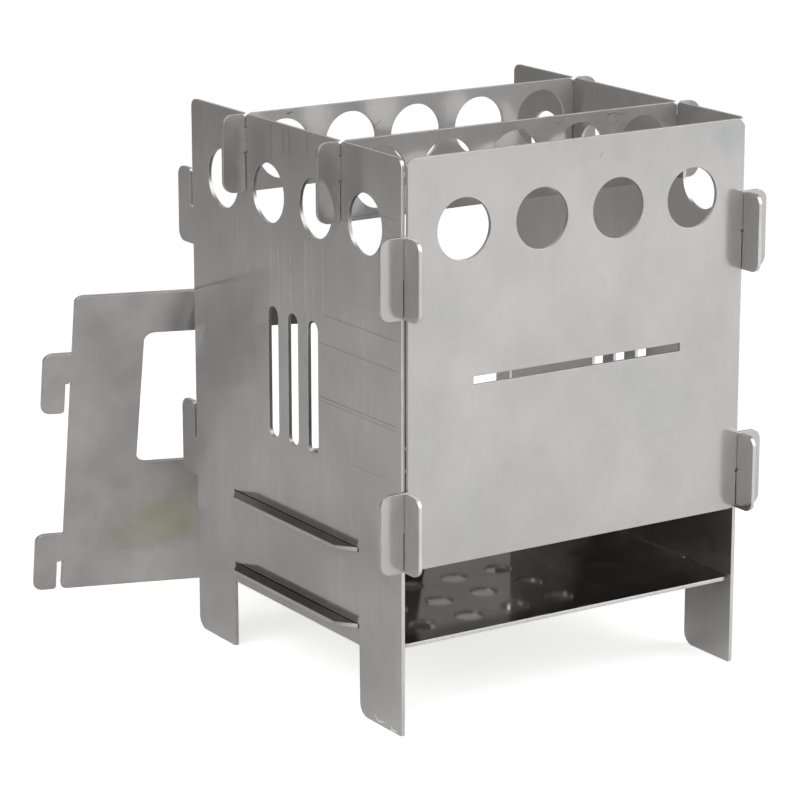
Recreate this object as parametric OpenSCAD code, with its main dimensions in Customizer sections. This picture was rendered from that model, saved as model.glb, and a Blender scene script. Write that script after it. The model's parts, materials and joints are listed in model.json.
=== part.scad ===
// Plug-together wood stove made of flat steel plates.
// Two side walls, a front wall, two cross bars, a grate and an ash plate hook and slot into each
// other without a screw. The rear window panel is taken off and leans on the back of the left wall.
// Millimetres, +Z up, -Y is the front. The feet stand on z = 0.

/* [Sheet] */
// Thickness of every plate
sheet_t = 1.5; // [1:0.1:2.2]
// Play on each side of a plate that sits in a slot
fit_gap = 0.2; // [0.1:0.05:0.35]
// Radius of the rounded lips at the mouth of a slot
mouth_r = 1.6; // [0.8:0.1:2.2]
// Radius of the lower corners of the front wall and of the window panel, beside the hooks
heel_r = 2.8; // [0.8:0.1:4]
// Radius of the relief hole in one corner of a slot's closed end
relief_r = 0.6; // [0.4:0.1:1]

/* [Fire box] */
// Clear width between the side walls
box_w = 146.5; // [136:0.5:170]
// Depth of the side walls, front edge to back edge
box_d = 146.5; // [136:0.5:170]
// Height of the side walls from the ground to the rim
wall_h = 210; // [200:1:240]
// Radius of the upper corners of the walls
rim_r = 3.2; // [1:0.2:6]

/* [Feet] */
// Width of each foot
foot_w = 28; // [22:0.5:30]
// Height of the arch between the feet
arch_h = 26.5; // [18:0.5:30]
// Radius of the arch's upper corners
arch_r = 1; // [0.5:0.1:4]
// Radius of the rear lower corner of each foot
foot_r = 5; // [1:0.5:9]
// Radius of the front lower corner of each foot
foot_edge_r = 0.8; // [0.4:0.1:3]

/* [Hooks] */
// Height of a hook; each of its two slots is half as deep
hook_h = 29.2; // [24:0.2:32]
// Length of a hook beyond its slot
hook_out = 9.3; // [7:0.1:12]
// Radius of a hook's outer corners
hook_r = 4; // [1:0.5:5]
// Height of the front wall's lower edge, and of the lower hooks' lower ends
front_z = 62; // [58:0.5:66]
// Depth of the upper hooks' upper ends below the rim
hook_drop = 27.2; // [20:0.2:34]

/* [Air holes] */
// Diameter of the round holes
hole_d = 22.3; // [16:0.1:23]
// Depth of the hole centres below the rim
hole_drop = 27; // [24:0.5:34]
// Holes in a row across each wall
hole_count = 4; // [4:2:4]
// Distance of the outer hole centres from the ends of the row's wall
hole_end = 23.5; // [20:0.1:26]
// Holes in each cross bar
bar_hole_count = 5; // [3:1:5]
// Distance of the outer bar hole centres from the side walls
bar_hole_end = 15.2; // [14:0.1:18]
// Width of the thin slot in the front wall
front_slot_w = 91; // [60:1:110]
// Height of the thin slot in the front wall
front_slot_h = 3.1; // [2:0.1:6]
// Height of the thin slot above the ground
front_slot_z = 126.3; // [110:0.5:140]
// Upright draught slots in each side wall
side_slot_count = 3; // [1:2:3]
// Width of a draught slot
side_slot_w = 7; // [4:0.5:9]
// Distance between neighbouring draught slots
side_slot_pitch = 14; // [12:0.5:18]
// Height of the draught slots' lower ends above the grate
side_slot_low = 27.8; // [16:0.2:34]
// Gap between the draught slots' upper ends and the round holes
side_slot_high = 30.85; // [16:0.05:34]

/* [Cross bars] */
// Height of a cross bar
bar_h = 29.2; // [26:0.2:34]
// Radius of a bar's outer corners
bar_r = 4.5; // [1:0.5:6]
// Depth of the notch above each side wall
bar_notch = 5; // [2.4:0.2:8]

/* [Grate and ash plate] */
// Height of the grate's underside
grate_z = 61.7; // [54:0.1:66]
// Height of the ash plate's underside
ash_z = 32.7; // [31:0.1:40]
// Gap between a plate's front or rear edge and the ends of the side walls
plate_inset = 1.2; // [0.8:0.1:4]
// Radius of the corners of the two plates
plate_r = 3; // [1:0.5:8]
// Length of a plate's side tab where it passes through the wall
tab_w = 87.5; // [70:0.5:96]
// Length by which each end of the tab is cut back at its outer edge
tab_slant = 7.5; // [3:0.5:12]
// Reach of the tab beyond the wall
tab_out = 5.4; // [3:0.1:9]
// Play at each end of the tab in the wall's slot
tab_play = 1; // [0.4:0.1:2]
// Diameter of the grate's holes
grate_hole_d = 11.5; // [7:0.1:15]
// Holes along each side of the grate
grate_count = 6; // [4:1:6]
// Distance of the outer grate holes from the ends of the fire box
grate_end = 19.7; // [16:0.1:26]

/* [Window panel] */
// Width of the strip on each side of the window
window_side = 27.9; // [20:0.1:34]
// Height of the strip above the window
window_top = 19.1; // [14:0.1:26]
// Height of the window's lower edge above the panel's lower edge
window_z = 64; // [50:0.2:68]
// Radius of the window's corners
window_r = 4; // [1:0.5:10]
// Angle by which the panel leans towards the stove
panel_lean = 24; // [15:0.5:30]
// Angle by which the panel is turned from the stove's width
panel_turn = 18.5; // [10:0.1:22]
// Length of the panel's top edge that sticks out past the left wall
panel_reach = 47.4; // [40:0.2:56]
// Gap between the leaning panel and the wall that it touches
lean_gap = 0.15; // [0.05:0.05:0.3]

/* [Hidden] */
$fn = 64;

// Overrun of a cut past the edge that it opens
overrun = sheet_t;
// Width of a slot that takes a plate
slot_w = sheet_t + 2 * fit_gap;
// Half the overall width across the side walls
half_w = box_w / 2 + sheet_t;
// Full length of a hook from the edge that carries it
hook_len = slot_w + hook_out;
// Distance between neighbouring holes of a row along a side wall and along the front wall
side_pitch = (box_d - 2 * hole_end) / (hole_count - 1);
front_pitch = (box_w - 2 * hole_end) / (hole_count - 1);
bar_pitch = (box_w - 2 * bar_hole_end) / (bar_hole_count - 1);
grate_pitch_x = (box_w - 2 * grate_end) / (grate_count - 1);
grate_pitch_y = (box_d - 2 * grate_end) / (grate_count - 1);
// Each bar stands midway between the first and second hole from its end of the side wall
bar_y = box_d / 2 - hole_end - side_pitch / 2;
// The front wall and the window panel share one outline
panel_w = box_w - 2 * fit_gap;
panel_h = wall_h - front_z;
window_w = panel_w - 2 * window_side;
window_h = panel_h - window_z - window_top;
// Upper hooks' lower ends above the ground
upper_hook_z = wall_h - hook_drop - hook_h;
// The draught slots fill the space between the grate and the round holes
side_slot_bottom = grate_z + sheet_t + side_slot_low;
side_slot_top = wall_h - hole_drop - hole_d / 2 - side_slot_high;
side_slot_h = side_slot_top - side_slot_bottom;
side_slot_z = (side_slot_top + side_slot_bottom) / 2;
// Plates between the side walls
plate_w = box_w - 2 * fit_gap;
plate_d = box_d - 2 * plate_inset;
// Lower front left corner of the leaning panel, from the top edge's touch on the inner back corner
// of the left wall: panel_reach along the edge, then down the slope
lean_run = panel_h * sin(panel_lean);
panel_x = -box_w / 2 - panel_reach * cos(panel_turn) + lean_run * sin(panel_turn);
panel_y = box_d / 2 + lean_gap + panel_reach * sin(panel_turn) + lean_run * cos(panel_turn);

// Middle of the footprint of the stove with its panel, where the origin lies
slope_x = sin(panel_lean) * sin(panel_turn);
slope_y = sin(panel_lean) * cos(panel_turn);
hook_top = upper_hook_z - front_z + hook_h;
reach_left = panel_x - (hook_len - hook_r) * cos(panel_turn) - (hook_top - hook_r) * slope_x
           - hook_r * norm([cos(panel_turn), slope_x]);
reach_back = panel_y + (hook_len - hook_r) * sin(panel_turn) - hook_r * slope_y
           + hook_r * norm([sin(panel_turn), slope_y])
           + sheet_t * cos(panel_lean) * cos(panel_turn);
reach_right = half_w + fit_gap + hook_out;
reach_front = -box_d / 2 - hook_len;
base = [(reach_left + reach_right) / 2, (reach_front + reach_back) / 2, 0];

// Place a piece drawn about the stove's own middle
module placed() {
    translate(-base) children();
}

// Stand a flat outline up as a side wall: outline x runs to the back, y upwards
module upright_side(x) {
    placed() translate([x, 0, 0]) rotate([90, 0, 90])
        linear_extrude(height = sheet_t) children();
}

// Stand a flat outline up facing the front, with its front face at y
module upright_front(y) {
    placed() translate([0, y + sheet_t, 0]) rotate([90, 0, 0])
        linear_extrude(height = sheet_t) children();
}

// Waste outside a rounded corner: the corner at the origin, the plate to the upper right
module corner_waste(r) {
    difference() {
        translate([-overrun, -overrun]) square(r + overrun);
        translate([r, r]) circle(r = r);
    }
}

// Rectangle with its lower left corner at the origin and the corners
// lower left, lower right, upper right and upper left rounded
module rounded(w, h, radii) {
    difference() {
        square([w, h]);
        if (radii[0] > 0) corner_waste(radii[0]);
        if (radii[1] > 0) translate([w, 0]) mirror([1, 0]) corner_waste(radii[1]);
        if (radii[2] > 0) translate([w, h]) rotate(180) corner_waste(radii[2]);
        if (radii[3] > 0) translate([0, h]) mirror([0, 1]) corner_waste(radii[3]);
    }
}

// Rounded-off waste on the left lip of a slot's mouth, the mouth at y = 0 and open upwards
module lip_waste(r) {
    translate([-slot_w / 2 - r, -r]) difference() {
        square([r, r + overrun]);
        circle(r = r);
    }
}

// Slot that takes one plate, its mouth at y = 0 and open upwards, with the radii of its two lips
// and a relief hole in its lower right corner
module edge_slot(depth, left_r, right_r) {
    translate([-slot_w / 2, -depth]) square([slot_w, depth + overrun]);
    translate([slot_w / 2, -depth]) circle(r = relief_r);
    if (left_r > 0) lip_waste(left_r);
    if (right_r > 0) mirror([1, 0]) lip_waste(right_r);
}

// Blank of a hook on a plate's left edge at x = 0, its lower end at y = 0
module hook_blank() {
    translate([-hook_len, 0])
        rounded(hook_len + sheet_t, hook_h, [hook_r, 0, 0, hook_r]);
}

// Slot of a hook that opens upwards, beside the plate's edge; inner_r rounds the plate's corner
module hook_slot(inner_r) {
    translate([-slot_w / 2, hook_h]) edge_slot(hook_h / 2, mouth_r, inner_r);
}

// Slot of a hook that opens downwards
module hook_slot_down(inner_r) {
    translate([0, hook_h]) mirror([0, 1]) hook_slot(inner_r);
}

// Row of round holes along x, centred
module hole_row(count, pitch, d) {
    for (i = [0 : count - 1])
        translate([(i - (count - 1) / 2) * pitch, 0]) circle(d = d);
}

// Slot with round ends, standing, centred on the origin
module obround(w, h) {
    square([w, h - w], center = true);
    for (side = [-1, 1])
        translate([0, side * (h - w) / 2]) circle(d = w);
}

// Copies of a piece at the left edge of a plate and mirrored at its right edge
module both_edges(w) {
    for (side = [0, 1])
        mirror([side, 0]) translate([-w / 2, 0]) children();
}

// Outline shared by both side walls, x from front to back, y upwards
module side_outline() {
    difference() {
        union() {
            side_sheet();
            both_edges(box_d) {
                translate([0, front_z]) hook_blank();
                translate([0, upper_hook_z]) hook_blank();
            }
        }
        both_edges(box_d) {
            translate([0, front_z]) hook_slot(0);
            translate([0, upper_hook_z]) hook_slot(0);
        }
        translate([0, wall_h - hole_drop]) hole_row(hole_count, side_pitch, hole_d);
        for (side = [-1, 1])
            translate([side * bar_y, wall_h]) edge_slot(bar_h / 2, mouth_r, mouth_r);
        plate_slot(grate_z);
        plate_slot(ash_z);
        for (i = [0 : side_slot_count - 1])
            translate([(i - (side_slot_count - 1) / 2) * side_slot_pitch, side_slot_z])
                obround(side_slot_w, side_slot_h);
    }
}

// Sheet of a side wall with its two feet
module side_sheet() {
    arch_w = box_d - 2 * foot_w;
    difference() {
        translate([-box_d / 2, 0])
            rounded(box_d, wall_h, [foot_edge_r, foot_r, rim_r, rim_r]);
        translate([-arch_w / 2, -overrun])
            rounded(arch_w, arch_h + overrun, [0, 0, arch_r, arch_r]);
        translate([-arch_w / 2, 0]) mirror([1, 0]) corner_waste(foot_r);
        translate([arch_w / 2, 0]) corner_waste(foot_edge_r);
    }
}

// Slot in a side wall for the tab of a plate whose underside is at height z
module plate_slot(z) {
    w = tab_w + 2 * tab_play;
    translate([-w / 2, z]) square([w, sheet_t + fit_gap]);
}

// Outline shared by the front wall and the window panel, lower edge at y = 0
module panel_outline() {
    difference() {
        union() {
            translate([-panel_w / 2, 0])
                rounded(panel_w, panel_h, [0, 0, rim_r, rim_r]);
            both_edges(panel_w) {
                hook_blank();
                translate([0, upper_hook_z - front_z]) hook_blank();
            }
        }
        both_edges(panel_w) {
            hook_slot_down(heel_r);
            translate([0, upper_hook_z - front_z]) hook_slot_down(0);
        }
    }
}

// Outline of a cross bar, lower edge at y = 0
module bar_outline() {
    length = 2 * (half_w + fit_gap + hook_out);
    difference() {
        translate([-length / 2, 0]) rounded(length, bar_h, [bar_r, bar_r, bar_r, bar_r]);
        both_edges(box_w + sheet_t) {
            translate([0, bar_h]) mirror([1, 0]) edge_slot(bar_notch, mouth_r, mouth_r);
            rotate(180) edge_slot(bar_h / 2, mouth_r, mouth_r);
        }
        translate([0, bar_h / 2]) hole_row(bar_hole_count, bar_pitch, hole_d);
    }
}

// Outline shared by the grate and the ash plate, with a tab on each side
module plate_outline() {
    translate([-plate_w / 2, -plate_d / 2])
        rounded(plate_w, plate_d, [plate_r, plate_r, plate_r, plate_r]);
    tab_tip = tab_w / 2 - tab_slant;
    polygon([
        [-half_w, -tab_w / 2],
        [half_w, -tab_w / 2],
        [half_w + tab_out, -tab_tip],
        [half_w + tab_out, tab_tip],
        [half_w, tab_w / 2],
        [-half_w, tab_w / 2],
        [-half_w - tab_out, tab_tip],
        [-half_w - tab_out, -tab_tip]
    ]);
}

module side_wall_left() {
    color([0.55, 0.54, 0.53]) upright_side(-half_w) side_outline();
}

module side_wall_right() {
    color([0.50, 0.49, 0.47]) upright_side(half_w - sheet_t) side_outline();
}

module front_wall() {
    color([0.74, 0.74, 0.73])
        upright_front(-box_d / 2 - fit_gap - sheet_t) translate([0, front_z]) difference() {
            panel_outline();
            translate([0, panel_h - hole_drop]) hole_row(hole_count, front_pitch, hole_d);
            translate([-front_slot_w / 2, front_slot_z - front_z])
                square([front_slot_w, front_slot_h]);
        }
}

module middle_bar() {
    color([0.60, 0.60, 0.58])
        upright_front(-bar_y - sheet_t / 2) translate([0, wall_h - bar_h]) bar_outline();
}

module rear_bar() {
    color([0.62, 0.62, 0.60])
        upright_front(bar_y - sheet_t / 2) translate([0, wall_h - bar_h]) bar_outline();
}

module grate() {
    color([0.42, 0.41, 0.39]) placed() translate([0, 0, grate_z])
        linear_extrude(height = sheet_t) difference() {
            plate_outline();
            for (j = [0 : grate_count - 1])
                translate([0, (j - (grate_count - 1) / 2) * grate_pitch_y])
                    hole_row(grate_count, grate_pitch_x, grate_hole_d);
        }
}

module ash_plate() {
    color([0.30, 0.29, 0.27]) placed() translate([0, 0, ash_z])
        linear_extrude(height = sheet_t) plate_outline();
}

module window_panel() {
    color([0.57, 0.55, 0.53])
        placed() translate([panel_x, panel_y, 0])
            rotate([0, 0, -panel_turn]) rotate([panel_lean, 0, 0])
                translate([panel_w / 2, sheet_t, 0]) rotate([90, 0, 0])
                    linear_extrude(height = sheet_t) difference() {
                        panel_outline();
                        translate([-window_w / 2, window_z])
                            rounded(window_w, window_h, [window_r, window_r, window_r, window_r]);
                    }
}

side_wall_left();
side_wall_right();
front_wall();
middle_bar();
rear_bar();
grate();
ash_plate();
window_panel();
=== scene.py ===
import json
import math

import bpy
import numpy as np
from mathutils import Matrix, Quaternion, Vector

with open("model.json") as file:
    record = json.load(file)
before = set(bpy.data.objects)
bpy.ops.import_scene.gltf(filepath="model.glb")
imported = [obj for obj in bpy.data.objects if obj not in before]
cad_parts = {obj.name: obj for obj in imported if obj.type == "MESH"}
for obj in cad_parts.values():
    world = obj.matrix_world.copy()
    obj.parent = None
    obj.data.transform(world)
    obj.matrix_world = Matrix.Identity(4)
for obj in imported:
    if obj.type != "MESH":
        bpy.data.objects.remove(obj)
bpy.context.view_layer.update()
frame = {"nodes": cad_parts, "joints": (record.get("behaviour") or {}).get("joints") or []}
plates = frame["nodes"]
scene = bpy.context.scene
print("frame loaded:", ", ".join(sorted(plates)))


# Camera

cameraSetup = {
    "place": (-0.66169, -1.05019, 0.42354),
    "turn": 32.718,  # degrees from +Y towards +X
    "down": 14.901,  # degrees under the horizon
    "roll": -0.067,
    "lens": 150.23,
    "sensor": 36.0,
    "nearest": 0.05,
    "farthest": 60.0,
}


def addCamera(setup):
    data = bpy.data.cameras.new("photoCamera")
    data.lens = setup["lens"]
    data.sensor_width = setup["sensor"]
    data.sensor_fit = "HORIZONTAL"
    data.clip_start = setup["nearest"]
    data.clip_end = setup["farthest"]
    camera = bpy.data.objects.new("photoCamera", data)
    scene.collection.objects.link(camera)
    turn = Matrix.Rotation(-math.radians(setup["turn"]), 4, "Z")
    tilt = Matrix.Rotation(math.pi / 2 - math.radians(setup["down"]), 4, "X")
    roll = Matrix.Rotation(math.radians(setup["roll"]), 4, "Z")
    camera.matrix_world = Matrix.Translation(setup["place"]) @ turn @ tilt @ roll
    scene.camera = camera


addCamera(cameraSetup)
scene.view_settings.view_transform = "Standard"
print("camera set")


# Node helpers: put() adds a node, fills its sockets by name or number and links what is a socket

def put(tree, kind, sockets=None, **settings):
    made = tree.nodes.new("ShaderNode" + kind)
    for name, value in settings.items():
        setattr(made, name, value)
    for name, value in (sockets or {}).items():
        if isinstance(value, bpy.types.NodeSocket):
            tree.links.new(value, made.inputs[name])
        else:
            made.inputs[name].default_value = value
    return made


def calc(tree, operation, a, b=0.0, c=0.0):
    return put(tree, "Math", {0: a, 1: b, 2: c}, operation=operation).outputs[0]


def vectorCalc(tree, operation, a, b=(0, 0, 0)):
    made = put(tree, "VectorMath", {0: a, 1: b}, operation=operation)
    return made.outputs["Value" if operation in ("DOT_PRODUCT", "DISTANCE", "LENGTH") else "Vector"]


# A soft step from toLow at low to toHigh at high; low may be the larger of the two
def ranged(tree, value, low, high, toLow=0.0, toHigh=1.0):
    sockets = {"Value": value, "From Min": low, "From Max": high, "To Min": toLow, "To Max": toHigh}
    return put(tree, "MapRange", sockets, interpolation_type="SMOOTHSTEP").outputs["Result"]


# A Mix node keeps the factor, A and B of a color at sockets 0, 6 and 7, and those of a number at 0, 2 and 3
def blendColor(tree, amount, a, b, kind="MIX"):
    return put(tree, "Mix", {0: amount, 6: a, 7: b}, data_type="RGBA", blend_type=kind).outputs[2]


def blendValue(tree, amount, a, b):
    return put(tree, "Mix", {0: amount, 2: a, 3: b}).outputs[0]


def greyOf(tree, value):
    return put(tree, "CombineXYZ", {0: value, 1: value, 2: value}).outputs[0]


# The base plus a share of how far a pattern is from its middle level
def swayed(tree, base, pattern, share):
    return calc(tree, "MULTIPLY_ADD", calc(tree, "SUBTRACT", pattern, 0.5), share, base)


# A plate's own axes: across, up along the sheet, and out of it

def plateAxes(across, up):
    out = Vector(across).cross(Vector(up)).normalized()
    return Matrix((Vector(across), Vector(up), out)).to_euler("XYZ")


panelJoint = next(joint for joint in frame["joints"] if joint["name"] == "panel_tip")
leanAxis = Vector(panelJoint["axis"]).normalized()
leanAngle = math.radians(panelJoint["range_deg"][1])
leanUp = Quaternion(leanAxis, -leanAngle) @ Vector((0, 0, 1))

sideAxes = plateAxes((0, 1, 0), (0, 0, 1))  # out is towards +X
crossAxes = plateAxes((1, 0, 0), (0, 0, 1))  # out is towards the front
levelAxes = plateAxes((1, 0, 0), (0, 1, 0))  # out is upwards
leanAxes = plateAxes(leanAxis, leanUp)


# Steel sheet: cold-rolled grain, cloudy patches, handling scratches, stains, patches of painted shade, and
# cut edges lighter partly from their own striated finish and partly from a painted highlight.
# Colors and finish come first, then the patterns. A pattern has the share by which it shades the color or
# the height of its relief, the scale of its noise, the stretch along the plate's axes, detail, roughness,
# and a shift that keeps it apart from the others.

plainSheet = {
    "axes": sideAxes,
    "seed": 0.0,
    "color": (0.57, 0.559, 0.555, 1),
    "warmColor": (0.57, 0.558, 0.542, 1),  # where the clouds are full
    # the cut edge's light striations, lifted by a painted highlight
    "edgeColorAndHighlight": (0.78, 0.775, 0.76, 1),  # light lines along a cut edge
    "edgeDark": (0.52, 0.51, 0.50, 1),  # the lines between them
    "metal": 0.8,  # the rest is diffuse; a cut edge is all metal
    "roughness": 0.15,
    "roughClouds": 0.05,  # how far the clouds sway the roughness
    "roughStreaks": 0.04,
    "edgeRough": 0.22,  # added on a cut edge
    "clouds": {"share": 0.13, "scale": 22.0, "stretch": (1, 0.8, 1),
               "detail": 3.0, "rough": 0.5, "shift": 0.0},
    "mottle": {"share": 0.07, "scale": 75.0, "stretch": (1, 0.6, 1),
               "detail": 3.0, "rough": 0.55, "shift": 11.9},
    "flecks": {"share": 0.07, "scale": 260.0, "stretch": (1, 0.7, 1),
               "detail": 4.0, "rough": 0.65, "shift": 3.1},
    "streaks": {"share": 0.06, "scale": 600.0, "stretch": (1, 0.03, 1),
                "detail": 3.0, "rough": 0.6, "shift": 5.7},
    "grain": {"share": 0.05, "height": 0.0000015, "scale": 2600.0, "stretch": (1, 0.02, 1),
              "detail": 2.0, "rough": 0.6, "shift": 9.2},
    "waves": {"height": 0.00012, "scale": 14.0, "stretch": (1, 1, 1),
              "detail": 1.0, "rough": 0.4, "shift": 7.7},
    "cutLines": {"height": 0.00001, "scale": 4200.0, "stretch": (1, 1, 0.08),
                 "detail": 2.0, "rough": 0.5, "shift": 1.3},
    "hairs": [(4.0, 0.10), (-7.0, -0.12)],  # degrees from upright, share lighter or darker
    "scratches": [],  # start, end, half width, share lighter or darker
    # real stains and patches of painted shade alike
    "stains": [],  # middle, reach, color, amount, face: 1 the one that out points to, -1 the other, 0 both
}

# The same in every sheet
sheetDetail = {
    "seedSteps": (1.0, 1.7, 0.6),  # how far a seed moves a noise along each axis
    "patchLevels": (0.3, 0.7),  # noise levels where clouds and mottle begin and are full
    "edgeLevels": (0.9, 0.6),  # outward part of the normal where a cut edge begins and is full
    # a stain here covers real stains and patches of painted shade alike
    "faceLevels": (0.3, 0.6),  # the same for the face that a stain is on
    "spotLevels": (1.0, 0.25),  # shares of a stain's reach where it begins and is full
    "spotBreak": 0.5,  # how far the flecks break up its rim
    "hairCells": (260, 9, 1),
    "hairSteps": (0.37, 0.53),  # how far a seed moves the hairlines
    "hairWidth": 0.03,  # share of a cell
    "hairLevels": (0.5, 0.62),  # levels of the mottle where hairlines begin and are full
    "scratchFull": 0.42,  # share of its length, to each side of its middle, where a scratch is full
}


def noise(tree, place, pattern, seed):
    moved = put(tree, "Mapping", {
        "Vector": place,
        "Location": tuple((seed + pattern["shift"]) * step for step in sheetDetail["seedSteps"]),
        "Scale": pattern["stretch"],
    })
    made = put(tree, "TexNoise", {
        "Vector": moved.outputs[0],
        "Scale": pattern["scale"],
        "Detail": pattern["detail"],
        "Roughness": pattern["rough"],
    })
    return made.outputs[0]


# Sparse hairline scratches that run near one direction: the rims of long thin cells, kept only in patches
def hairLines(tree, place, patches, angle, seed):
    stepX, stepY = sheetDetail["hairSteps"]
    turned = put(tree, "Mapping", {
        "Vector": place,
        "Rotation": (0, 0, math.radians(angle)),
        "Location": (seed * stepX, seed * stepY, 0),
        "Scale": sheetDetail["hairCells"],
    })
    cells = put(tree, "TexVoronoi", {"Vector": turned.outputs[0], "Scale": 1.0, "Randomness": 1.0},
                voronoi_dimensions="2D", feature="DISTANCE_TO_EDGE")
    thin = ranged(tree, cells.outputs["Distance"], sheetDetail["hairWidth"], 0.0)
    return calc(tree, "MULTIPLY", thin, ranged(tree, patches, *sheetDetail["hairLevels"]))


# A thin line from start to end on the sheet, with soft ends
def scratchLine(tree, place, start, end, halfWidth):
    begin = Vector((*start, 0))
    run = Vector((*end, 0)) - begin
    along = run.normalized()
    aside = Vector((-along.y, along.x, 0))
    local = vectorCalc(tree, "SUBTRACT", place, begin)
    travel = vectorCalc(tree, "DOT_PRODUCT", local, along)
    offset = vectorCalc(tree, "DOT_PRODUCT", local, aside)
    thin = ranged(tree, calc(tree, "ABSOLUTE", offset), halfWidth, 0.0)
    fromMiddle = calc(tree, "ABSOLUTE", calc(tree, "SUBTRACT", travel, run.length / 2))
    inside = ranged(tree, fromMiddle, run.length / 2, run.length * sheetDetail["scratchFull"])
    return calc(tree, "MULTIPLY", thin, inside)


# A soft oval patch whose rim is broken up by the flecks
def softSpot(tree, place, flecks, middle, reach):
    local = vectorCalc(tree, "SUBTRACT", place, (*middle, 0))
    flat = vectorCalc(tree, "MULTIPLY", local, (1 / reach[0], 1 / reach[1], 0))
    far = swayed(tree, vectorCalc(tree, "LENGTH", flat), flecks, sheetDetail["spotBreak"])
    return ranged(tree, far, *sheetDetail["spotLevels"])


def steelSheet(name, look):
    material = bpy.data.materials.new(name)
    material.use_nodes = True
    tree = material.node_tree
    tree.nodes.clear()
    source = put(tree, "TexCoord").outputs
    turn = look["axes"]
    place = put(tree, "Mapping", {"Vector": source["Object"], "Rotation": turn}).outputs[0]
    facing = put(tree, "Mapping", {"Vector": source["Normal"], "Rotation": turn}, vector_type="VECTOR")
    outward = put(tree, "SeparateXYZ", {0: facing.outputs[0]}).outputs[2]
    onEdge = ranged(tree, calc(tree, "ABSOLUTE", outward), *sheetDetail["edgeLevels"])

    names = ("clouds", "mottle", "flecks", "streaks", "grain", "waves", "cutLines")
    patterns = {part: noise(tree, place, look[part], look["seed"]) for part in names}
    for part in ("clouds", "mottle"):
        patterns[part] = ranged(tree, patterns[part], *sheetDetail["patchLevels"])

    shade = 1.0
    for part in ("clouds", "mottle", "flecks", "streaks", "grain"):
        shade = swayed(tree, shade, patterns[part], look[part]["share"])
    for angle, share in look["hairs"]:
        lines = hairLines(tree, place, patterns["mottle"], angle, look["seed"])
        shade = calc(tree, "MULTIPLY_ADD", lines, share, shade)
    for start, end, halfWidth, share in look["scratches"]:
        shade = calc(tree, "MULTIPLY_ADD", scratchLine(tree, place, start, end, halfWidth), share, shade)

    tint = blendColor(tree, patterns["clouds"], look["color"], look["warmColor"])
    # real stains, and patches of painted shade where light falls dimly
    for middle, reach, stainAndShadeColor, amount, face in look["stains"]:
        spot = calc(tree, "MULTIPLY", softSpot(tree, place, patterns["flecks"], middle, reach), amount)
        if face != 0:
            onFace = ranged(tree, calc(tree, "MULTIPLY", outward, face), *sheetDetail["faceLevels"])
            spot = calc(tree, "MULTIPLY", spot, onFace)
        tint = blendColor(tree, spot, tint, stainAndShadeColor)
    # cut edge color: its own striations, with the light ones lifted by a painted highlight
    cutColorAndHighlight = blendColor(tree, patterns["cutLines"], look["edgeDark"], look["edgeColorAndHighlight"])
    tint = blendColor(tree, onEdge, tint, cutColorAndHighlight)
    color = blendColor(tree, 1.0, tint, greyOf(tree, shade), "MULTIPLY")

    rough = swayed(tree, look["roughness"], patterns["clouds"], look["roughClouds"])
    rough = swayed(tree, rough, patterns["streaks"], look["roughStreaks"])
    rough = calc(tree, "MULTIPLY_ADD", onEdge, look["edgeRough"], rough)
    metal = calc(tree, "MULTIPLY_ADD", onEdge, 1.0 - look["metal"], look["metal"])

    relief = {}
    for part, strength in (("waves", 1.0), ("grain", 1.0), ("cutLines", onEdge)):
        sockets = {"Strength": strength, "Distance": look[part]["height"], "Height": patterns[part]}
        relief = {"Normal": put(tree, "Bump", {**sockets, **relief}).outputs[0]}

    finish = {"Base Color": color, "Metallic": metal, "Roughness": rough}
    shader = put(tree, "BsdfPrincipled", {**finish, **relief})
    put(tree, "OutputMaterial", {"Surface": shader.outputs[0]})
    return material


# A copy of a look with the given values changed; of a pattern, only the named ones change
def changedLook(look, **changes):
    made = dict(look)
    for name, value in changes.items():
        made[name] = {**look[name], **value} if isinstance(value, dict) else value
    return made


# Side walls: brushed lines, rim lines, slide marks and foot nicks, in metres along and up the left wall

wallMarks = {
    "brushLines": [  # along, low end, high end
        (-0.0174, 0.140, 0.167), (-0.0226, 0.139, 0.166), (-0.0269, 0.142, 0.168), (-0.0313, 0.140, 0.169),
        (-0.0414, 0.143, 0.171), (-0.0431, 0.128, 0.171), (-0.0464, 0.144, 0.171), (-0.0540, 0.144, 0.173),
    ],
    "brushHalfWidth": 0.0005,
    "brushShare": 0.22,
    "rimLines": [
        (-0.0184, 0.195, 0.2095), (-0.0269, 0.198, 0.2085),
        (-0.0312, 0.199, 0.2095), (-0.0438, 0.200, 0.2095),
    ],
    "rimHalfWidth": 0.0004,
    "rimShare": -0.40,
    "slideLines": [  # height, start, end, depth
        (0.1450, -0.0525, -0.1052, 0.12), (0.1342, -0.0419, -0.1052, 0.10), (0.1342, -0.0170, -0.0256, 0.08),
        (0.1141, -0.0465, -0.1056, 0.13), (0.1126, -0.0465, -0.1056, 0.09), (0.0935, -0.0690, -0.0984, 0.06),
        (0.1880, -0.0830, -0.1040, 0.07),
    ],
    "slideHalfWidth": 0.0003,
    "slideShare": -3.4,  # times the depth
    "footNicks": [
        ((-0.0876, 0.0031), (-0.0908, 0.0010)), ((-0.0902, 0.0012), (-0.0940, 0.0021)),
        ((-0.0988, 0.0022), (-0.0999, 0.0004)), ((-0.0985, 0.0006), (-0.1028, 0.0010)),
    ],
    "nickHalfWidth": 0.0005,
    "nickShare": 0.90,
}


def wallScratches(marks):
    made = [((along, low), (along, high), marks["brushHalfWidth"], marks["brushShare"])
            for along, low, high in marks["brushLines"]]
    made += [((along, low), (along, high), marks["rimHalfWidth"], marks["rimShare"])
             for along, low, high in marks["rimLines"]]
    made += [((start, height), (end, height), marks["slideHalfWidth"], marks["slideShare"] * depth)
             for height, start, end, depth in marks["slideLines"]]
    made += [(start, end, marks["nickHalfWidth"], marks["nickShare"]) for start, end in marks["footNicks"]]
    return made


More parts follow.
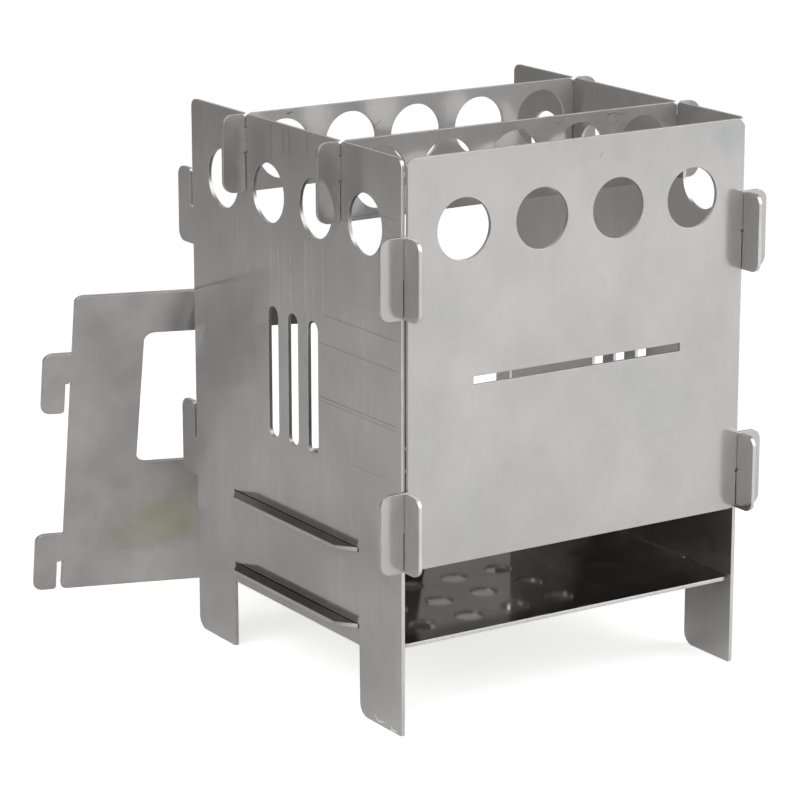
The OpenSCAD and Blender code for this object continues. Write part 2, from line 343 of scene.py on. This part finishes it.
leftWallLook = changedLook(
    plainSheet,
    seed=1.0,
    scratches=wallScratches(wallMarks),
    stains=[((-0.072, 0.048), (0.036, 0.017), (0.66, 0.65, 0.645, 1), 0.7, -1)],
)
# Right wall: the left wall's sheet in a slightly darker color as painted shade
rightWallLook = changedLook(
    plainSheet,
    seed=2.4,
    color=(0.54, 0.53, 0.526, 1),
    warmColor=(0.54, 0.528, 0.514, 1),
    # painted shade: a dark band on the inner face between the grate and the ash plate
    stains=[((-0.050, 0.049), (0.130, 0.026), (0.23, 0.226, 0.218, 1), 1.0, -1)],
)


# Front wall: the palest and most even sheet, with a few chips and faint wiped patches

frontWallLook = changedLook(
    plainSheet,
    seed=3.6,
    axes=crossAxes,
    color=(0.562, 0.557, 0.553, 1),
    warmColor=(0.562, 0.548, 0.535, 1),
    metal=0.58,
    roughness=0.17,
    roughStreaks=0.0,
    clouds={"share": 0.11, "scale": 30.0},
    mottle={"share": 0.06},
    streaks={"share": 0.0},
    grain={"share": 0.008, "height": 0.0000002},
    hairs=[(12.0, 0.03), (-25.0, -0.03)],
    scratches=[
        ((0.0283, 0.2018), (0.0296, 0.2042), 0.00025, -0.45),
        ((0.0583, 0.2020), (0.0588, 0.2032), 0.0002, -0.30),
        ((0.0440, 0.1160), (0.0452, 0.1166), 0.0002, -0.30),
        ((0.0083, 0.1600), (0.0086, 0.1750), 0.0016, -0.035),
        ((0.0080, 0.1430), (0.0092, 0.1640), 0.0009, -0.03),
        ((0.0840, 0.1880), (0.0855, 0.1700), 0.0004, -0.07),
    ],
    stains=[
        ((0.0384, 0.2035), (0.0070, 0.0050), (0.53, 0.50, 0.485, 1), 0.5, 0),
        ((-0.0266, 0.0844), (0.0110, 0.0180), (0.545, 0.545, 0.545, 1), 0.6, 0),
        ((0.0880, 0.2040), (0.0120, 0.0100), (0.49, 0.50, 0.51, 1), 0.7, 0),
        ((0.0620, 0.1050), (0.0200, 0.0140), (0.545, 0.55, 0.545, 1), 0.6, 0),
    ],
)


# Cross bars: grain along the bar, dark scuffs at the rim, and painted shade on the front of the hooks

middleBarLook = changedLook(
    plainSheet,
    seed=4.9,
    axes=crossAxes,
    color=(0.575, 0.565, 0.562, 1),
    warmColor=(0.565, 0.55, 0.54, 1),
    metal=0.36,
    roughness=0.12,
    streaks={"stretch": (0.03, 1, 1)},
    grain={"stretch": (0.02, 1, 1)},
    waves={"height": 0.00004},
    hairs=[(86.0, 0.08), (60.0, -0.10)],
    scratches=[
        ((0.0610, 0.2080), (0.0660, 0.2088), 0.0004, -0.5),
        ((0.0640, 0.2070), (0.0672, 0.2082), 0.0003, -0.5),
        ((0.0672, 0.2078), (0.0700, 0.2080), 0.0003, -0.5),
        ((0.0635, 0.2038), (0.0662, 0.2058), 0.0003, -0.4),
        ((0.0380, 0.2070), (0.0400, 0.2074), 0.0003, -0.4),
        ((-0.0290, 0.2078), (-0.0284, 0.2062), 0.0002, -0.5),
    ],
    stains=[
        # painted shade on the front of each hook, which the side walls keep from the front lamp
        ((-0.0625, 0.195), (0.013, 0.034), (0.345, 0.336, 0.33, 1), 1.0, 1),
        ((0.1031, 0.195), (0.013, 0.034), (0.345, 0.336, 0.33, 1), 1.0, 1),
    ],
)
rearBarLook = changedLook(
    middleBarLook,
    seed=5.5,
    color=(0.61, 0.60, 0.596, 1),
    warmColor=(0.60, 0.585, 0.575, 1),
    metal=0.28,
    scratches=[
        ((-0.0372, 0.2082), (-0.0340, 0.2088), 0.0005, -0.5),
        ((-0.0362, 0.2076), (-0.0350, 0.2092), 0.0003, -0.4),
        ((0.0010, 0.1990), (0.0046, 0.2020), 0.0004, -0.4),
        ((-0.0110, 0.2065), (0.0040, 0.2068), 0.0002, 0.12),
    ],
)


# Grate and ash plate: nearly mirror-bright, their color darker than the walls' as painted shade for the dim
# inside, with painted shade on the tops of the tabs

grateLook = changedLook(
    plainSheet,
    seed=6.1,
    axes=levelAxes,
    # darker than the walls: painted shade for the inside of the stove
    color=(0.40, 0.396, 0.385, 1),
    warmColor=(0.40, 0.393, 0.375, 1),
    metal=0.95,
    roughness=0.08,
    streaks={"stretch": (0.03, 1, 1)},
    grain={"stretch": (0.02, 1, 1)},
    # painted shade on the top of the tab that passes through the left wall
    stains=[((-0.0590, -0.0240), (0.0120, 0.0700), (0.27, 0.266, 0.258, 1), 1.0, 1)],
)
ashLook = changedLook(
    plainSheet,
    seed=7.3,
    axes=levelAxes,
    # darker than the walls: painted shade for the inside of the stove
    color=(0.44, 0.436, 0.41, 1),
    warmColor=(0.44, 0.433, 0.40, 1),
    metal=0.97,
    roughness=0.05,
    roughClouds=0.03,
    roughStreaks=0.01,
    streaks={"share": 0.03},
    grain={"share": 0.02},
    waves={"height": 0.00003},
    # painted shade on the top of the tab that passes through the left wall
    stains=[((-0.0590, -0.0240), (0.0120, 0.0700), (0.20, 0.197, 0.188, 1), 1.0, 1)],
)


# Window panel: cloudier than the rest, with straw-colored heat stains under the window

panelLook = changedLook(
    plainSheet,
    seed=8.8,
    axes=leanAxes,
    color=(0.665, 0.637, 0.635, 1),
    warmColor=(0.66, 0.637, 0.612, 1),
    metal=0.64,
    roughStreaks=0.01,
    clouds={"share": 0.24},
    mottle={"share": 0.13},
    streaks={"share": 0.008},
    grain={"share": 0.015, "height": 0.0000004},
    hairs=[(9.0, 0.03), (-14.0, -0.03)],
    stains=[
        ((0.0680, 0.0010), (0.0240, 0.0150), (0.58, 0.555, 0.44, 1), 0.9, 0),
        ((0.0800, -0.0080), (0.0200, 0.0100), (0.58, 0.56, 0.47, 1), 0.8, 0),
        ((0.0600, 0.0130), (0.0180, 0.0120), (0.60, 0.575, 0.51, 1), 0.7, 0),
        ((0.0950, 0.0930), (0.0150, 0.0170), (0.56, 0.535, 0.53, 1), 0.5, 0),
        ((0.0880, 0.0210), (0.0090, 0.0060), (0.58, 0.56, 0.54, 1), 0.5, 0),
        ((0.0900, 0.0780), (0.0110, 0.0150), (0.59, 0.56, 0.55, 1), 0.5, 0),
    ],
)

finishes = {
    "side_wall_left": ("leftWallSteel", leftWallLook),
    "side_wall_right": ("rightWallSteel", rightWallLook),
    "front_wall": ("frontWallSteel", frontWallLook),
    "middle_bar": ("middleBarSteel", middleBarLook),
    "rear_bar": ("rearBarSteel", rearBarLook),
    "grate": ("grateSteel", grateLook),
    "ash_plate": ("ashPlateSteel", ashLook),
    "window_panel": ("windowPanelSteel", panelLook),
}


# Cut edges: the loose triangles are joined, flat faces made whole, and every sheet edge eased

edgeEase = {
    "joinDistance": 0.000002,
    "flatAngle": 0.3,  # degrees
    "width": 0.00014,
    "segments": 2,
    "sharpAngle": 40.0,  # degrees
    "flatWeight": 100,  # 50 is neutral, 100 lets the large faces lead the shading
}


def easeEdges(plate, values):
    mesh = plate.data
    mesh.polygons.foreach_set("use_smooth", np.ones(len(mesh.polygons), bool))
    join = plate.modifiers.new("joinTriangles", "WELD")
    join.merge_threshold = values["joinDistance"]
    flat = plate.modifiers.new("wholeFaces", "DECIMATE")
    flat.decimate_type = "DISSOLVE"
    flat.angle_limit = math.radians(values["flatAngle"])
    bevel = plate.modifiers.new("easedEdges", "BEVEL")
    bevel.width = values["width"]
    bevel.segments = values["segments"]
    bevel.limit_method = "ANGLE"
    bevel.angle_limit = math.radians(values["sharpAngle"])
    bevel.use_clamp_overlap = False
    bevel.miter_outer = "MITER_ARC"
    weighted = plate.modifiers.new("flatShading", "WEIGHTED_NORMAL")
    weighted.mode = "FACE_AREA"
    weighted.weight = values["flatWeight"]
    weighted.keep_sharp = False


for name, (materialName, look) in finishes.items():
    plate = plates[name]
    plate.data.materials.clear()
    plate.data.materials.append(steelSheet(materialName, look))
    easeEdges(plate, edgeEase)
    print("finished", name)


# Studio: a white floor that keeps the shadow and carries painted pools of light that only the metal's
# reflections show, soft lamps and a plain bright surround

studio = {
    "white": (1, 1, 1, 1),
    "floorReach": 9.0,
    "floorColor": (0.80, 0.80, 0.80, 1),
    "floorLift": 0.72,  # share of the white that camera rays get without the lamps, near the stove
    "whiteReach": (0.6, 2.0),  # where that share begins to rise and is full
    # painted pools of light: the floor glows there only for glossy rays
    "paintedLightPools": [  # light patches of the floor as the metal mirrors it: middle, inner and outer reach, level
        ((0.45, -0.65, 0.0), 0.35, 0.95, 0.43),
        ((0.45, 0.75, 0.0), 0.25, 0.65, 0.45),
    ],
    "surround": 1.0,  # as the camera sees it
    "ambient": 0.06,  # as it lights the metal
    "mirrorLow": 0.02,  # as the metal mirrors it, outside the bright sides
    "mirrorSides": [  # way, part of it where a bright side begins and is full, level
        ((0.35, -0.30, -0.90), -0.95, 0.5, 0.85),
        ((0.10, 0.76, 0.64), 0.72, 0.97, 0.65),
    ],
}


def addFloor(values):
    reach = values["floorReach"]
    corners = np.array([[-1, -1, 0], [1, -1, 0], [1, 1, 0], [-1, 1, 0]], float) * (reach, reach, 1)
    mesh = bpy.data.meshes.new("studioFloor")
    mesh.from_pydata(corners.tolist(), [], [[0, 1, 2, 3]])
    floor = bpy.data.objects.new("studioFloor", mesh)
    scene.collection.objects.link(floor)
    material = bpy.data.materials.new("paleFloor")
    material.use_nodes = True
    tree = material.node_tree
    tree.nodes.clear()
    rays = put(tree, "LightPath").outputs
    ground = put(tree, "TexCoord").outputs["Object"]
    # painted pools of light, shown to glossy rays only
    paintedLightPool = 0.0
    for middle, inner, outer, level in values["paintedLightPools"]:
        away = vectorCalc(tree, "DISTANCE", ground, middle)
        paintedLightPool = calc(tree, "MAXIMUM", paintedLightPool, ranged(tree, away, outer, inner, 0.0, level))
    farOut = vectorCalc(tree, "LENGTH", ground)
    white = ranged(tree, farOut, *values["whiteReach"], values["floorLift"], 1.0)
    seen = calc(tree, "MULTIPLY", rays["Is Camera Ray"], white)
    through = calc(tree, "MULTIPLY", rays["Is Transmission Ray"], white)
    mirrored = calc(tree, "MULTIPLY", rays["Is Glossy Ray"], paintedLightPool)
    lift = calc(tree, "MAXIMUM", calc(tree, "MAXIMUM", seen, through), mirrored)
    lit = put(tree, "BsdfDiffuse", {"Color": values["floorColor"], "Roughness": 0.0})
    glow = put(tree, "Emission", {"Color": values["white"], "Strength": lift})
    both = put(tree, "AddShader", {0: lit.outputs[0], 1: glow.outputs[0]})
    put(tree, "OutputMaterial", {"Surface": both.outputs[0]})
    mesh.materials.append(material)


def addSurround(values):
    world = bpy.data.worlds.new("paleStudio")
    scene.world = world
    world.use_nodes = True
    tree = world.node_tree
    tree.nodes.clear()
    rays = put(tree, "LightPath").outputs
    seen = calc(tree, "MAXIMUM", rays["Is Camera Ray"], rays["Is Transmission Ray"])
    outward = put(tree, "TexCoord").outputs["Generated"]
    low = values["mirrorLow"]
    mirrored = low
    for way, start, end, level in values["mirrorSides"]:
        lean = vectorCalc(tree, "DOT_PRODUCT", outward, Vector(way).normalized())
        mirrored = calc(tree, "MAXIMUM", mirrored, ranged(tree, lean, start, end, low, level))
    strength = blendValue(tree, rays["Is Glossy Ray"], values["ambient"], mirrored)
    strength = blendValue(tree, seen, strength, values["surround"])
    glow = put(tree, "Background", {"Color": values["white"], "Strength": strength})
    put(tree, "OutputWorld", {"Surface": glow.outputs[0]})


stoveFront = (0.0, -0.05, 0.05)  # low in the stove, where the lamps around it point
lamps = [
    {"name": "frontBox", "place": (1.1, -0.9, 1.0), "aim": stoveFront, "size": 1.6, "power": 17.0},
    {"name": "leftFrontBox", "place": (-0.85, -1.15, 1.25), "aim": stoveFront, "size": 1.0, "power": 7.0},
    {"name": "leftBox", "place": (-1.0, -0.15, 0.75), "aim": stoveFront, "size": 0.8, "power": 5.5},
    {"name": "topBox", "place": (0.0, 0.0, 1.8), "aim": (0.0, 0.0, 0.0), "size": 1.4, "power": 1.5},
]


def addLamp(values):
    data = bpy.data.lights.new(values["name"], "AREA")
    data.shape = "SQUARE"
    data.size = values["size"]
    data.energy = values["power"]
    lamp = bpy.data.objects.new(values["name"], data)
    scene.collection.objects.link(lamp)
    lamp.location = values["place"]
    aim = Vector(values["aim"]) - Vector(values["place"])
    lamp.rotation_euler = aim.to_track_quat("-Z", "Y").to_euler()
    lamp.visible_camera = False


addFloor(studio)
addSurround(studio)
for lampValues in lamps:
    addLamp(lampValues)
print("studio lit")
